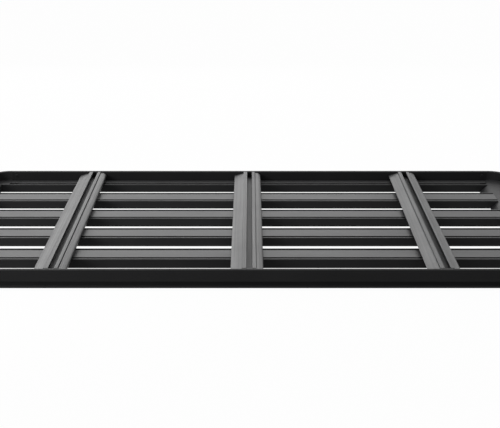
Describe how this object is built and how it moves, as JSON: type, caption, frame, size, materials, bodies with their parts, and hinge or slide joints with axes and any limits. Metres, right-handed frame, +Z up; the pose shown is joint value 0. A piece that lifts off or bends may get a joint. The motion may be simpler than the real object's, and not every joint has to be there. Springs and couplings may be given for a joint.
{
  "type": "flat platform roof rack",
  "caption": "Low flat roof platform: slotted lengthwise slats and crossbars inside a rounded rail frame, for tying loads to a vehicle's roof.",
  "frame": {"origin": "middle of the flat underside", "axes": "+X to the front of the vehicle, +Y to its left, +Z up"},
  "size_m": [1.54, 1.256, 0.0482],
  "materials": {
    "powder_coat": "satin black powder coat on extruded aluminium",
    "corner_moulding": "fine grained black moulding",
    "cap_moulding": "fine grained black moulding",
    "trim_rubber": "matt black extruded rubber"
  },
  "bodies": {
    "root": {"side_rail_left": "powder_coat", "side_rail_right": "powder_coat", "front_rail": "powder_coat", "rear_rail": "powder_coat", "slat_1": "powder_coat", "slat_2": "powder_coat", "slat_3": "powder_coat", "slat_4": "powder_coat", "crossbar_rear": "powder_coat", "crossbar_middle": "powder_coat", "crossbar_front": "powder_coat", "corner_front_left": "corner_moulding", "corner_front_right": "corner_moulding", "corner_rear_left": "corner_moulding", "corner_rear_right": "corner_moulding", "crossbar_rear_cap_left": "cap_moulding", "crossbar_rear_cap_right": "cap_moulding", "crossbar_middle_cap_left": "cap_moulding", "crossbar_middle_cap_right": "cap_moulding", "crossbar_front_cap_left": "cap_moulding", "crossbar_front_cap_right": "cap_moulding", "strip_left": "trim_rubber", "strip_right": "trim_rubber", "strip_front": "trim_rubber", "strip_rear": "trim_rubber"}
  },
  "joints": []
}
